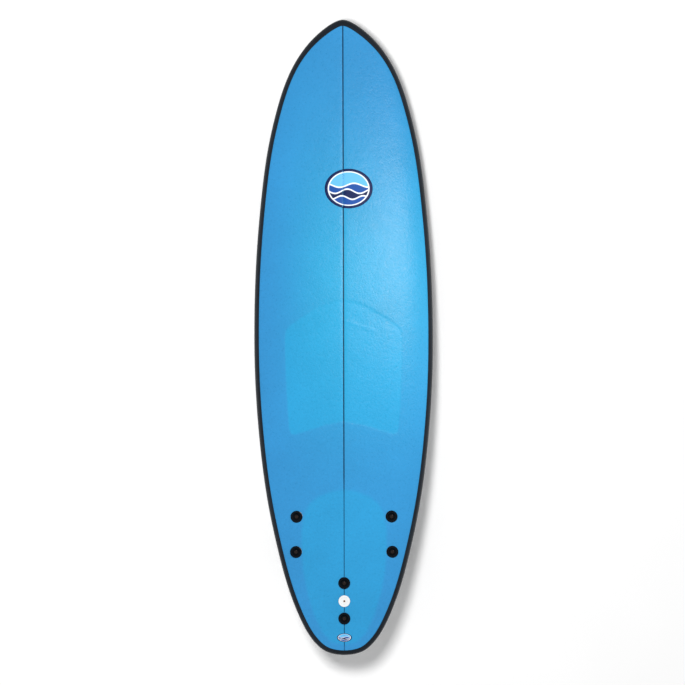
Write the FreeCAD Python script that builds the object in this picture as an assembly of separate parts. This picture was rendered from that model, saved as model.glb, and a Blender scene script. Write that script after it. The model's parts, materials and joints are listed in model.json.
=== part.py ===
"""Soft-top surfboard with three bolt-through fins.

Millimetres. +X is the board's right with the deck up, +Y the nose, +Z up.
The board stands on the floor as it rests: on the belly of its hull and on the tips of
its two side fins, so the tail is lifted and the whole rocker curve is tilted.
"""

import FreeCAD, Part
import math
import os
from FreeCAD import Vector

# ---- Overall size
LENGTH = 1981.0
HALF_LENGTH = LENGTH / 2
THICKNESS = 80.0
NOSE_TIP_THICKNESS = 29.0
TAIL_TIP_THICKNESS = 27.0
FOIL_POWER = 2.6

# ---- Rocker, measured from the straight line under the middle
NOSE_ROCKER = 118.0
NOSE_ROCKER_POWER = 2.4
TAIL_ROCKER = 45.0
TAIL_ROCKER_POWER = 2.2
STANCE_SLOPE = 0.09422  # tilt at which the belly and the side fins' tips touch the floor together

# ---- Outline of the right half: (distance behind the nose tip, half width)
OUTLINE = (
    (0.0, 0.0),
    (7.0, 25.0),
    (27.0, 57.0),
    (64.0, 98.5),
    (115.0, 138.5),
    (189.0, 177.0),
    (283.0, 208.0),
    (408.0, 236.5),
    (564.0, 257.5),
    (751.0, 273.0),
    (938.0, 279.2),
    (1125.0, 276.8),
    (1313.0, 263.5),
    (1500.0, 239.0),
    (1656.0, 206.3),
    (1781.0, 171.5),
    (1865.0, 138.5),
    (1918.0, 110.0),
    (1950.0, 84.0),
    (1968.0, 60.5),
    (1978.0, 31.0),
    (1981.0, 0.0),
)
OUTLINE_WRAP = 8  # points carried past each tip, so that the two halves meet smoothly
OUTLINE_SAMPLES = 2000

# ---- Cross-section of the board
END_HALF_WIDTH = 100.0  # half width that the crown is spread over at the two tips
PATCH_MARGIN = 1.07  # how far the deck and hull patches reach past that half width
PATCH_OVERRUN = 8.0
DECK_CROWN = 0.42  # share of the local thickness
DECK_ROLL = 0.65  # share of the crown that falls close to the rail
DECK_ROLL_POWER = 6
HULL_ROUND = 0.17
HULL_ROLL = 0.6
HULL_ROLL_POWER = 4
PATCH_ROWS = 46
PATCH_COLUMNS = 18

# ---- Rail band
RIM = 14.8
RIM_NOSE = 20.0
RIM_NOSE_REACH = 90.0
RAIL_LAP = 9.0
RAIL_APEX = 0.46  # height of the widest line, as a share of the rail's height
RAIL_STATIONS = 40
RAIL_WRAP = 3
RAIL_ARC_POINTS = 7
RAIL_SHOULDER = 0.62

# ---- Layers
DECK_SKIN = 6.0
HULL_SKIN = 1.5
CREASE_WIDTH = 2.4
CREASE_DEPTH = 1.3
STRINGER = 3.0
SIDE_STRINGER_X = 108.0
STRINGER_FRONT = 975.0
STRINGER_BACK = -735.0
TOOL_REACH = 160.0

# ---- Fin bolts
BOLT_SPACING = 109.5
SIDE_FIN_X = 151.8
SIDE_FIN_Y = -624.4
SIDE_FIN_TOE = 1.25  # half the difference in x between its two bolts
CENTRE_FIN_Y = -829.9

# ---- Fin sleeve
FLANGE_RADIUS = 18.4
FLANGE_THICKNESS = 2.5
FLANGE_SINK = 1.2
FLANGE_EDGE = 0.8
POCKET_GAP = 0.5
CUP_RADIUS = 14.0
CUP_BORE = 12.0
CUP_DEPTH = 7.0
SHELF = 3.0
SHELF_HOLE = 3.4
TUBE_RADIUS = 9.0
TUBE_BORE = 7.2
TUBE_FOOT = 0.4

# ---- Screw, washer and insert
SCREW_RADIUS = 2.95
SCREW_LENGTH = 30.0
SCREW_TIP = 0.8
HEAD_RADIUS = 6.0
HEAD_HEIGHT = 3.6
HEAD_EDGE = 1.6
SLOT_WIDTH = 1.6
SLOT_DEPTH = 1.5
WASHER_RADIUS = 9.0
WASHER_BORE = 3.2
WASHER_THICKNESS = 1.6
WASHER_EDGE = 0.3
INSERT_RADIUS = 4.5
INSERT_LENGTH = 14.0
INSERT_BORE = 3.05
INSERT_GROOVE = 0.5
INSERT_GROOVE_HEIGHT = 2.0
ENGAGEMENT = 13.4

# ---- Fin
BOSS_RADIUS = 7.0
BOSS_EDGE = 0.6
BASE_HALF_WIDTH = 11.0
BASE_THICKNESS = 4.5
BASE_EDGE = 1.0
BASE_GAP = 0.05
BASE_OVERREACH = 3.0
FIN_EDGE = 0.7  # half thickness of the blade's leading and trailing edges
RELIEF_RADIUS = 3.3
RELIEF_DEPTH = 3.0
# depth below the hull, leading edge, trailing edge and half thickness of each section
BLADE = (
    (3.0, 60.0, -58.5, 6.6),
    (8.0, 56.0, -57.0, 4.9),
    (25.0, 45.0, -56.0, 4.3),
    (50.0, 26.0, -58.0, 3.6),
    (75.0, 2.0, -64.0, 2.9),
    (95.0, -26.0, -72.0, 2.2),
    (108.0, -52.0, -80.0, 1.6),
    (115.0, -71.0, -87.0, 1.1),
)

# ---- Leash plug
PLUG_Y = -823.0
PLUG_FLANGE_RADIUS = 18.0
PLUG_FLANGE_THICKNESS = 3.0
PLUG_SINK = 0.8
PLUG_SPIGOT_RADIUS = 10.0
PLUG_SPIGOT_DEPTH = 5.0
PLUG_RING_RADIUS = 12.0
PLUG_RING_WIDTH = 1.2
PLUG_RING_DEPTH = 0.6
PLUG_HOLE = 2.5
PLUG_CUP_RADIUS = 13.0
PLUG_CUP_WALL = 3.0
PLUG_CUP_DEPTH = 22.0
PLUG_CUP_FLOOR = 2.5

# ---- Printed films on the deck
FILM = 0.3
BADGE_X = 17.0
BADGE_Y = 462.0
BADGE_LONG = 75.0
BADGE_SHORT = 62.0
TAIL_BADGE_Y = -936.0
TAIL_BADGE_LONG = 23.0
TAIL_BADGE_SHORT = 13.0

UP = Vector(0, 0, 1)
ORIGIN = Vector(0, 0, 0)
MIRROR_PLANE = Vector(1, 0, 0)
PRISM_FLOOR = -60.0
PRISM_HEIGHT = 460.0
CUTTER_REACH = 30.0


# ---- Curves and heights
def smooth_half(right):
    """The right half of a smooth closed curve, through points from the nose to the tail."""
    left = [Vector(-point.x, point.y, 0) for point in right]
    before = left[OUTLINE_WRAP:0:-1]
    after = left[-2 : -2 - OUTLINE_WRAP : -1]
    curve = Part.BSplineCurve()
    curve.interpolate(before + right + after)
    return curve.toShape(curve.parameter(right[0]), curve.parameter(right[-1]))


OUTLINE_EDGE = smooth_half([Vector(half, HALF_LENGTH - back, 0) for back, half in OUTLINE])
OUTLINE_TABLE = OUTLINE_EDGE.discretize(Number=OUTLINE_SAMPLES)


def half_width_squared(y):
    """Square of the outline's half width, carried on past the two tips in a straight line."""
    table = OUTLINE_TABLE
    low = 0
    high = len(table) - 1
    if y >= table[low].y:
        near, far = table[low], table[low + 1]
    elif y <= table[high].y:
        near, far = table[high], table[high - 1]
    else:
        while high - low > 1:
            middle = (low + high) // 2
            if table[middle].y > y:
                low = middle
            else:
                high = middle
        near, far = table[low], table[high]
    share = (y - near.y) / (far.y - near.y)
    return near.x**2 + share * (far.x**2 - near.x**2)


def spread_width(y):
    return math.sqrt(half_width_squared(y) + END_HALF_WIDTH**2)


def thickness(y):
    tip = NOSE_TIP_THICKNESS if y > 0 else TAIL_TIP_THICKNESS
    return tip + (THICKNESS - tip) * (1 - abs(y / HALF_LENGTH) ** FOIL_POWER)


def rocker(y):
    if y > 0:
        return NOSE_ROCKER * (y / HALF_LENGTH) ** NOSE_ROCKER_POWER
    return TAIL_ROCKER * (-y / HALF_LENGTH) ** TAIL_ROCKER_POWER


def belly_height():
    """How far the tilted rocker line dips below its middle."""
    steep = NOSE_ROCKER * NOSE_ROCKER_POWER / HALF_LENGTH
    contact = HALF_LENGTH * (STANCE_SLOPE / steep) ** (1 / (NOSE_ROCKER_POWER - 1))
    return STANCE_SLOPE * contact - rocker(contact)


BELLY = belly_height()


def across(x, y, roll, power):
    share = x / spread_width(y)
    return (1 - roll) * share**2 + roll * share**power


def hull_height(x, y):
    rise = HULL_ROUND * thickness(y) * across(x, y, HULL_ROLL, HULL_ROLL_POWER)
    return rocker(y) - STANCE_SLOPE * y + BELLY + rise


def deck_height(x, y):
    drop = DECK_CROWN * thickness(y) * across(x, y, DECK_ROLL, DECK_ROLL_POWER)
    return rocker(y) - STANCE_SLOPE * y + BELLY + thickness(y) - drop


def normal_of(height, x, y):
    step = 0.5
    slope_x = (height(x + step, y) - height(x - step, y)) / (2 * step)
    slope_y = (height(x, y + step) - height(x, y - step)) / (2 * step)
    return Vector(-slope_x, -slope_y, 1).normalize()


# ---- Surfaces, the prism inside the rail band, and the band itself
def patch(height):
    """A smooth face over the whole outline, from the given height function."""
    grid = []
    reach = HALF_LENGTH + PATCH_OVERRUN
    for row in range(PATCH_ROWS + 1):
        y = -reach * math.cos(math.pi * row / PATCH_ROWS)
        line = []
        for column in range(PATCH_COLUMNS + 1):
            x = PATCH_MARGIN * spread_width(y) * (2 * column / PATCH_COLUMNS - 1)
            line.append(Vector(x, y, height(x, y)))
        grid.append(line)
    surface = Part.BSplineSurface()
    surface.interpolate(grid)
    return surface.toShape()


DECK_FACE = patch(deck_height)
HULL_FACE = patch(hull_height)


def layer(face, low, high):
    """The solid between two vertical shifts of a face."""
    start = face.copy()
    start.translate(Vector(0, 0, low))
    return start.extrude(Vector(0, 0, high - low))


def rim_width(y):
    nearness = math.exp(-(((HALF_LENGTH - y) / RIM_NOSE_REACH) ** 2))
    return RIM + (RIM_NOSE - RIM) * nearness


def rail_stations():
    """(point on the outline, inward direction) from the nose round the right side to the tail."""
    stations = []
    for step in range(RAIL_STATIONS + 1):
        share = (1 - math.cos(math.pi * step / RAIL_STATIONS)) / 2
        parameter = OUTLINE_EDGE.getParameterByLength(share * OUTLINE_EDGE.Length)
        point = OUTLINE_EDGE.valueAt(parameter)
        along = OUTLINE_EDGE.tangentAt(parameter)
        inward = Vector(along.y, -along.x, 0)
        if step in (0, RAIL_STATIONS):
            point.x = 0
            inward = Vector(0, -1 if step == 0 else 1, 0)
        stations.append((point, inward))
    return stations


STATIONS = rail_stations()


def seam_prism():
    """Everything inside the rail band's vertical inner wall."""
    right = smooth_half([point + inward * rim_width(point.y) for point, inward in STATIONS])
    right.translate(Vector(0, 0, PRISM_FLOOR))
    left = right.mirror(ORIGIN, MIRROR_PLANE)
    return Part.Face(Part.Wire([right, left])).extrude(Vector(0, 0, PRISM_HEIGHT))


def bezier(a, b, c, d, share):
    rest = 1 - share
    return a * rest**3 + b * (3 * rest**2 * share) + c * (3 * rest * share**2) + d * share**3


def rail_quarter(point, inward, height, apex):
    """Points from inside the seam out to the widest line, starting level with the given height."""
    rim = rim_width(point.y)

    def at(inset):
        spot = point + inward * inset
        return Vector(spot.x, spot.y, height(spot.x, spot.y))

    quarter = [at(rim + RAIL_LAP), at(rim + RAIL_LAP / 2)]
    start = at(rim)
    ahead = at(rim - 1) - start
    shoulder = start + ahead * (RAIL_SHOULDER * rim)
    corner = Vector(apex.x, apex.y, apex.z + RAIL_SHOULDER * (shoulder.z - apex.z))
    for step in range(RAIL_ARC_POINTS):
        quarter.append(bezier(start, shoulder, corner, apex, step / RAIL_ARC_POINTS))
    return quarter


def rail_section(point, inward):
    rim = rim_width(point.y)
    seam = point + inward * rim
    top = deck_height(seam.x, seam.y)
    bottom = hull_height(seam.x, seam.y)
    apex = Vector(point.x, point.y, bottom + RAIL_APEX * (top - bottom))
    upper = rail_quarter(point, inward, deck_height, apex)
    lower = rail_quarter(point, inward, hull_height, apex)
    lower.reverse()
    return upper + [apex] + lower


def rail_ring():
    """The right rail, reaching a little inside its seam."""
    mirrored = []
    for point, inward in STATIONS:
        mirrored.append((Vector(-point.x, point.y, 0), Vector(-inward.x, inward.y, 0)))
    before = mirrored[RAIL_WRAP:0:-1]
    after = mirrored[-2 : -2 - RAIL_WRAP : -1]
    surface = Part.BSplineSurface()
    surface.interpolate([rail_section(point, inward) for point, inward in before + STATIONS + after])
    u_first, u_last, v_first, v_last = surface.bounds()
    upper = surface.vIso(v_first).toShape()
    lower = surface.vIso(v_last).toShape()
    faces = [surface.toShape(), Part.makeRuledSurface(upper, lower)]
    for end in (u_first, u_last):
        curve = surface.uIso(end).toShape()
        chord = Part.LineSegment(curve.valueAt(curve.LastParameter), curve.valueAt(curve.FirstParameter))
        faces.append(Part.Face(Part.Wire([curve, chord.toShape()])))
    shell = Part.makeShell(faces)
    shell.sewShape()
    solid = Part.makeSolid(shell)
    if solid.Volume < 0:
        solid.reverse()
    return solid.common(slab(0, LENGTH, -LENGTH, LENGTH))


# ---- Local frames for the fins, their bolts and the leash plug
def frame_at(x, y, height, forward):
    """A placement on a surface: local Z is its normal and local Y points along forward."""
    normal = normal_of(height, x, y)
    ahead = (forward - normal * forward.dot(normal)).normalize()
    side = ahead.cross(normal)
    return FreeCAD.Placement(Vector(x, y, height(x, y)), FreeCAD.Rotation(side, ahead, normal, "ZXY"))


def fin_frames():
    toe = SIDE_FIN_TOE * 2
    return {
        "left": frame_at(-SIDE_FIN_X, SIDE_FIN_Y, hull_height, Vector(toe, BOLT_SPACING, 0)),
        "right": frame_at(SIDE_FIN_X, SIDE_FIN_Y, hull_height, Vector(-toe, BOLT_SPACING, 0)),
        "centre": frame_at(0, CENTRE_FIN_Y, hull_height, Vector(0, BOLT_SPACING, 0)),
    }


def deck_reach(frame, along):
    """Height of the deck above the fin base at a bolt, along the bolt."""
    low = 0.0
    high = 2 * THICKNESS
    while high - low > 1e-6:
        middle = (low + high) / 2
        spot = frame.multVec(Vector(0, along, middle))
        if spot.z < deck_height(spot.x, spot.y):
            low = middle
        else:
            high = middle
    return low


def cylinder(radius, low, high, along=0.0):
    return Part.makeCylinder(radius, high - low, Vector(0, along, low), UP)


def round_edges(shape, radius, z, outer):
    """Rounds the circular edges at a height whose radius is at least outer."""
    chosen = []
    for edge in shape.Edges:
        if isinstance(edge.Curve, Part.Circle):
            if abs(edge.Curve.Center.z - z) < 1e-6 and edge.Curve.Radius >= outer - 1e-6:
                chosen.append(edge)
    return shape.makeFillet(radius, chosen)


# ---- Pieces at each bolt, with local Z = 0 on the hull
def sleeve_envelope(top):
    cup_foot = top - CUP_DEPTH - SHELF
    body = cylinder(TUBE_RADIUS, TUBE_FOOT, top)
    body = body.fuse(cylinder(CUP_RADIUS, cup_foot, top))
    body = body.fuse(cylinder(FLANGE_RADIUS, top - FLANGE_THICKNESS, top))
    return body.removeSplitter()


def sleeve(top):
    shelf = top - CUP_DEPTH
    body = round_edges(sleeve_envelope(top), FLANGE_EDGE, top, FLANGE_RADIUS)
    body = body.cut(cylinder(CUP_BORE, shelf, top + 1))
    body = body.cut(cylinder(SHELF_HOLE, TUBE_FOOT, top))
    return body.cut(cylinder(TUBE_BORE, TUBE_FOOT - 1, shelf - SHELF))


def washer(shelf):
    ring = cylinder(WASHER_RADIUS, shelf, shelf + WASHER_THICKNESS)
    ring = ring.cut(cylinder(WASHER_BORE, shelf - 1, shelf + WASHER_THICKNESS + 1))
    return round_edges(ring, WASHER_EDGE, shelf + WASHER_THICKNESS, WASHER_RADIUS)


def screw(seat):
    """A slotted pan-head screw whose head rests at the given height."""
    top = seat + HEAD_HEIGHT
    head = round_edges(cylinder(HEAD_RADIUS, seat, top), HEAD_EDGE, top, HEAD_RADIUS)
    tip = seat - SCREW_LENGTH
    shank = cylinder(SCREW_RADIUS, tip + SCREW_TIP, seat)
    point = Part.makeCone(SCREW_RADIUS - SCREW_TIP, SCREW_RADIUS, SCREW_TIP, Vector(0, 0, tip), UP)
    slot = Part.makeBox(SLOT_WIDTH, 2.2 * HEAD_RADIUS, SLOT_DEPTH + 1)
    slot.translate(Vector(-SLOT_WIDTH / 2, -1.1 * HEAD_RADIUS, top - SLOT_DEPTH))
    return head.fuse([shank, point]).removeSplitter().cut(slot)


def insert(top):
    foot = top - INSERT_LENGTH
    body = cylinder(INSERT_RADIUS, foot, top)
    for share in (1 / 3, 2 / 3):
        low = foot + share * INSERT_LENGTH - INSERT_GROOVE_HEIGHT / 2
        high = low + INSERT_GROOVE_HEIGHT
        groove = cylinder(INSERT_RADIUS + 1, low, high)
        body = body.cut(groove.cut(cylinder(INSERT_RADIUS - INSERT_GROOVE, low, high)))
    return body.cut(cylinder(INSERT_BORE, foot - 1, top + 1))


# ---- Fin, with local Z = 0 on the hull and Y forward
def blade_section(depth, lead, trail, half):
    z = -depth
    edge = min(FIN_EDGE, half / 2)
    middle = (lead + trail) / 2 + (lead - trail) * 0.1
    front_right = Vector(edge, lead - edge, z)
    front_left = Vector(-edge, lead - edge, z)
    back_right = Vector(edge, trail + edge, z)
    back_left = Vector(-edge, trail + edge, z)
    pieces = [
        Part.Arc(back_right, Vector(half, middle, z), front_right),
        Part.Arc(front_right, Vector(0, lead, z), front_left),
        Part.Arc(front_left, Vector(-half, middle, z), back_left),
        Part.Arc(back_left, Vector(0, trail, z), back_right),
    ]
    return Part.Wire([piece.toShape() for piece in pieces])


def stadium(half_width, low, high):
    reach = BOLT_SPACING / 2
    body = Part.makeBox(2 * half_width, 2 * reach, high - low, Vector(-half_width, -reach, low))
    for along in (-reach, reach):
        body = body.fuse(cylinder(half_width, low, high, along))
    return body.removeSplitter()


def fin(frame, boss_tops):
    sections = [blade_section(*row) for row in BLADE]
    blade = Part.makeLoft(sections, True, False)
    base = stadium(BASE_HALF_WIDTH, -BASE_THICKNESS, BASE_OVERREACH)
    lowest = [edge for edge in base.Edges if edge.BoundBox.ZMax < -BASE_THICKNESS + 1e-3]
    base = base.makeFillet(BASE_EDGE, lowest)
    base.Placement = frame
    base = base.cut(layer(HULL_FACE, -BASE_GAP, TOOL_REACH))
    blade.Placement = frame
    body = base.fuse(blade)
    for along, top in boss_tops:
        boss = round_edges(cylinder(BOSS_RADIUS, -BASE_THICKNESS / 2, top), BOSS_EDGE, top, BOSS_RADIUS)
        bore = cylinder(INSERT_RADIUS, top - INSERT_LENGTH, top + 1)
        relief = cylinder(RELIEF_RADIUS, top - INSERT_LENGTH - RELIEF_DEPTH, top)
        for piece in (boss, bore, relief):
            piece.Placement = frame.multiply(FreeCAD.Placement(Vector(0, along, 0), FreeCAD.Rotation()))
        body = body.fuse(boss).cut(bore.fuse(relief))
    return body.removeSplitter()


# ---- Leash plug, with local Z = 0 on the deck
def plug_envelope():
    top = -PLUG_SINK
    body = cylinder(PLUG_FLANGE_RADIUS, top - PLUG_FLANGE_THICKNESS, top)
    return body.fuse(cylinder(PLUG_CUP_RADIUS, top - PLUG_FLANGE_THICKNESS - PLUG_CUP_DEPTH, top))


def plug_cap():
    top = -PLUG_SINK
    seat = top - PLUG_FLANGE_THICKNESS
    body = cylinder(PLUG_FLANGE_RADIUS, seat, top)
    body = body.fuse(cylinder(PLUG_SPIGOT_RADIUS, seat - PLUG_SPIGOT_DEPTH, top)).removeSplitter()
    body = round_edges(body, FLANGE_EDGE, top, PLUG_FLANGE_RADIUS)
    ring = cylinder(PLUG_RING_RADIUS, top - PLUG_RING_DEPTH, top + 1)
    ring = ring.cut(cylinder(PLUG_RING_RADIUS - PLUG_RING_WIDTH, top - PLUG_RING_DEPTH, top + 1))
    return body.cut([ring, cylinder(PLUG_HOLE, seat - PLUG_CUP_DEPTH, top + 1)])


def plug_cup():
    mouth = -PLUG_SINK - PLUG_FLANGE_THICKNESS
    foot = mouth - PLUG_CUP_DEPTH
    body = cylinder(PLUG_CUP_RADIUS, foot, mouth)
    return body.cut(cylinder(PLUG_CUP_RADIUS - PLUG_CUP_WALL, foot + PLUG_CUP_FLOOR, mouth + 1))


# ---- Films, crease and stringers
def film(x, y, half_long, half_short):
    oval = Part.Ellipse(Vector(x, y, PRISM_FLOOR), half_long, half_short).toShape()
    prism = Part.Face(Part.Wire([oval])).extrude(Vector(0, 0, PRISM_HEIGHT))
    return layer(DECK_FACE, 0, FILM).common(prism)


def slab(x_low, x_high, y_low, y_high):
    return Part.makeBox(x_high - x_low, y_high - y_low, PRISM_HEIGHT, Vector(x_low, y_low, PRISM_FLOOR))


def placed(shape, placement):
    result = shape.copy()
    result.Placement = placement.multiply(result.Placement)
    return result


def main():
    nodes = {}
    inside = seam_prism()

    frames = fin_frames()
    bolts = {}
    for fin_name, frame in frames.items():
        for end, along in (("front", BOLT_SPACING / 2), ("rear", -BOLT_SPACING / 2)):
            place = frame.multiply(FreeCAD.Placement(Vector(0, along, 0), FreeCAD.Rotation()))
            bolts[fin_name, end] = (place, along, deck_reach(frame, along) - FLANGE_SINK)
    plug_place = frame_at(0, PLUG_Y, deck_height, Vector(0, 1, 0))

    envelopes = [placed(plug_envelope(), plug_place)]
    pockets = []
    plug_pocket = cylinder(PLUG_FLANGE_RADIUS + POCKET_GAP, -PLUG_SINK - PLUG_FLANGE_THICKNESS, CUTTER_REACH)
    pockets.append(placed(plug_pocket, plug_place))
    for place, along, top in bolts.values():
        envelopes.append(placed(sleeve_envelope(top).fuse(cylinder(TUBE_RADIUS, -CUTTER_REACH, top)), place))
        pocket = cylinder(FLANGE_RADIUS + POCKET_GAP, top - FLANGE_THICKNESS, top + CUTTER_REACH)
        pockets.append(placed(pocket, place))

    # Deck skin with its crease and pockets
    crease = layer(DECK_FACE, -CREASE_DEPTH, CUTTER_REACH)
    crease = crease.common(slab(-CREASE_WIDTH / 2, CREASE_WIDTH / 2, -LENGTH, LENGTH))
    deck = layer(DECK_FACE, -DECK_SKIN, 0).common(inside)
    nodes["deck_skin"] = deck.cut([crease] + pockets + envelopes)

    # Hull skin
    nodes["hull_skin"] = layer(HULL_FACE, 0, HULL_SKIN).common(inside).cut(envelopes)

    # Core and stringers
    core = layer(DECK_FACE, -TOOL_REACH, -DECK_SKIN).common(inside)
    core = core.common(layer(HULL_FACE, HULL_SKIN, TOOL_REACH))
    half = STRINGER / 2
    side_low = SIDE_STRINGER_X - half
    side_high = SIDE_STRINGER_X + half
    spine = slab(-half, half, STRINGER_BACK, STRINGER_FRONT)
    nodes["stringer_centre"] = core.common(spine)
    for side, sign in (("left", -1), ("right", 1)):
        outer = slab(*sorted((sign * side_high, sign * LENGTH)), -LENGTH, LENGTH)
        inner = slab(*sorted((0, sign * side_low)), -LENGTH, LENGTH)
        stringer = slab(*sorted((sign * side_low, sign * side_high)), -LENGTH, LENGTH)
        nodes["core_outer_" + side] = core.common(outer).cut(envelopes)
        nodes["core_inner_" + side] = core.common(inner).cut([spine] + envelopes)
        nodes["stringer_" + side] = core.common(stringer)

    # Rails
    rail = rail_ring().cut(inside)
    nodes["rail_right"] = rail
    nodes["rail_left"] = rail.mirror(ORIGIN, MIRROR_PLANE)

    # Fins and their bolts
    for fin_name, frame in frames.items():
        boss_tops = []
        for end in ("front", "rear"):
            place, along, top = bolts[fin_name, end]
            shelf = top - CUP_DEPTH
            seat = shelf + WASHER_THICKNESS
            boss_top = seat - SCREW_LENGTH + ENGAGEMENT
            boss_tops.append((along, boss_top))
            tag = fin_name + "_" + end
            nodes["sleeve_" + tag] = placed(sleeve(top), place)
            nodes["washer_" + tag] = placed(washer(shelf), place)
            nodes["screw_" + tag] = placed(screw(seat), place)
            nodes["insert_" + tag] = placed(insert(boss_top), place)
        nodes["fin_" + fin_name] = fin(frame, boss_tops)

    # Leash plug and films
    nodes["leash_plug_cap"] = placed(plug_cap(), plug_place)
    nodes["leash_plug_cup"] = placed(plug_cup(), plug_place)
    nodes["badge_front"] = film(BADGE_X, BADGE_Y, BADGE_LONG, BADGE_SHORT)
    nodes["badge_tail"] = film(0, TAIL_BADGE_Y, TAIL_BADGE_LONG, TAIL_BADGE_SHORT)

    os.makedirs("parts", exist_ok=True)
    for name, shape in nodes.items():
        shape.exportStep("parts/" + name + ".step")


main()
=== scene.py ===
"""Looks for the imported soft-top surfboard. Metres, in the frame of the CAD: +Y is the nose, +Z is up."""

import json
import math

import bmesh
import bpy
import numpy as np
from mathutils import Matrix, Vector

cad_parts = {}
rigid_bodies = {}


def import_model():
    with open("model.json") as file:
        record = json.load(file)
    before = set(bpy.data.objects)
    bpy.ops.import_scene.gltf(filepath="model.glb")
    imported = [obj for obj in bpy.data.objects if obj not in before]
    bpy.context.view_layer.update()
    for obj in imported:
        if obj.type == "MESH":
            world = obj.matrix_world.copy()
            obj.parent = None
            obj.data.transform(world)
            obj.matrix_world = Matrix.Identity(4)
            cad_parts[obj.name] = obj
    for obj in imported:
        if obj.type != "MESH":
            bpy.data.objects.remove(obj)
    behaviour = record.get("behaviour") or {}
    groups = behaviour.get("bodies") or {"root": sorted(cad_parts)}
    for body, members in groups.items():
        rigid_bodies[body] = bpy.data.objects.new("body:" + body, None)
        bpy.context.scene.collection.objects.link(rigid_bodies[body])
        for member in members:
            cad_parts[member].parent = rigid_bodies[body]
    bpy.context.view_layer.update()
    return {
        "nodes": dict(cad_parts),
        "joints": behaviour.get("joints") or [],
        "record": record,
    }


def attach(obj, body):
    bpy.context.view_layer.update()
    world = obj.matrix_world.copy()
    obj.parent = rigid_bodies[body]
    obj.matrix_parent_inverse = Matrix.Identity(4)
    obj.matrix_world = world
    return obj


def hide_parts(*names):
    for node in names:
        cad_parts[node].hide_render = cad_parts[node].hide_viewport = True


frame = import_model()
nodes = frame["nodes"]
MM = 0.001

# ---- The board's shape, as in the CAD
HALF_LENGTH = 0.9905
THICKNESS = 0.080
NOSE_TIP_THICKNESS = 0.029
TAIL_TIP_THICKNESS = 0.027
FOIL_POWER = 2.6
NOSE_ROCKER = 0.118
NOSE_ROCKER_POWER = 2.4
TAIL_ROCKER = 0.045
TAIL_ROCKER_POWER = 2.2
STANCE_SLOPE = 0.09422
# distance behind the nose tip and half width, in millimetres
OUTLINE = (
    (0, 0), (7, 25), (27, 57), (64, 98.5), (115, 138.5), (189, 177), (283, 208), (408, 236.5),
    (564, 257.5), (751, 273), (938, 279.2), (1125, 276.8), (1313, 263.5), (1500, 239),
    (1656, 206.3), (1781, 171.5), (1865, 138.5), (1918, 110), (1950, 84), (1968, 60.5),
    (1978, 31), (1981, 0),
)
OUTLINE_WRAP = 8  # points borrowed from the other side past each tip, so that the tips stay smooth
END_HALF_WIDTH = 0.100
DECK_CROWN, DECK_ROLL, DECK_ROLL_POWER = 0.42, 0.65, 6
HULL_ROUND, HULL_ROLL, HULL_ROLL_POWER = 0.17, 0.6, 4
RIM, RIM_NOSE, RIM_NOSE_REACH = 0.0148, 0.020, 0.090
RAIL_APEX = 0.46
RAIL_SHOULDER = 0.62
DECK_SKIN = 0.006
HULL_SKIN = 0.0015
POCKET_RADIUS = 0.0189
POCKET_DEPTH = 0.0037
PLUG_POCKET_RADIUS = 0.0185
PLUG_POCKET_DEPTH = 0.0038
TUBE_RADIUS = 0.009
CUP_HOLE = 0.0141
PLUG_HOLE = 0.0131

# ---- How finely the meshes are divided
OUTLINE_STEPS = 8000
TIP_CROWDING = 0.4  # how strongly the rows crowd towards the nose and tail
RAIL_STATIONS = 420
RAIL_ARC_POINTS = 14
RAIL_ARC_BIAS = 1.15
DECK_ROWS, DECK_COLUMNS = 560, 72
HULL_ROWS, HULL_COLUMNS = 300, 40
CREASE_COLUMNS = (0, 0.5, 0.85, 1.2, 1.65, 2.6, 4.2)  # millimetres from the centre line
CREASE_COLUMNS_REACH = 0.03  # rows with a shorter half than this squeeze those columns
TIP_ROOM = 0.028  # from each end of the rail seam to where the nearest row crosses the centre line
LATHE_STEPS = 96
BADGE_RINGS, BADGE_SPOKES = 26, 120
TINY = 1e-6
MERGE, MERGE_AFTER_CUT = 1e-6, 2e-5
CRISP_ANGLE = 50  # degrees

# ---- Detail of the looks
SEAM_ROUND = 0.0009  # how far the deck and rail edges round over at their seam
SEAM_DROP = {"deck": -SEAM_ROUND, "hull": 0.3 * SEAM_ROUND}
CREASE_HALF = 0.0012
CREASE_DEPTH = 0.0013
CREASE_FOOT, CREASE_SHOULDER = 0.55, 1.35  # its side runs between these shares of its half width
VALLEY_DEPTH, VALLEY_HALF = 0.0006, 0.006  # the foam sinks gently towards the crease
LINE_BACK, LINE_FRONT = -0.52, -0.42  # between these the crease's colour grows wider and darker
LINE_WIDER, LINE_FAINT = 0.4, 0.78
PANEL_DEPTH = 0.0006
PANEL_EDGE = 0.0028
TAIL_PANEL_SOFTER, TAIL_PANEL_SHALLOWER, TAIL_PANEL_PALER = 2.5, 0.6, 0.75
DIMPLE_DEPTH = 0.00115
DIMPLE_REACH = 0.0072
FILM_LIFT = 0.00025
FILM_GAP = 0.00002
STAIN_REACH = 0.0045  # how far from its centre the plug is stained
# painted light: where the deck's colour is made greener and lighter, standing in for the light that falls on
# its middle
PAINTED_LIGHT_X, PAINTED_LIGHT_Y, PAINTED_LIGHT_LONG, PAINTED_LIGHT_WIDE = 0.08, 0.17, 0.46, 0.25

# ---- Panels pressed into the deck: closed outlines in metres, right half from front to back
CHEST_PANEL = (
    (0.0, 0.113), (0.030, 0.110), (0.080, 0.090), (0.130, 0.060), (0.168, 0.034), (0.181, 0.018),
    (0.184, -0.010), (0.181, -0.120), (0.176, -0.220), (0.171, -0.285), (0.166, -0.302), (0.154, -0.306),
    (0.120, -0.296), (0.060, -0.277), (0.0, -0.266),
)
TAIL_PANEL = (
    (0.0, -0.477), (0.040, -0.483), (0.080, -0.499), (0.108, -0.522), (0.124, -0.552), (0.132, -0.600),
    (0.133, -0.660), (0.127, -0.730), (0.114, -0.800), (0.094, -0.865), (0.068, -0.920), (0.038, -0.950),
    (0.0, -0.958),
)
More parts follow.
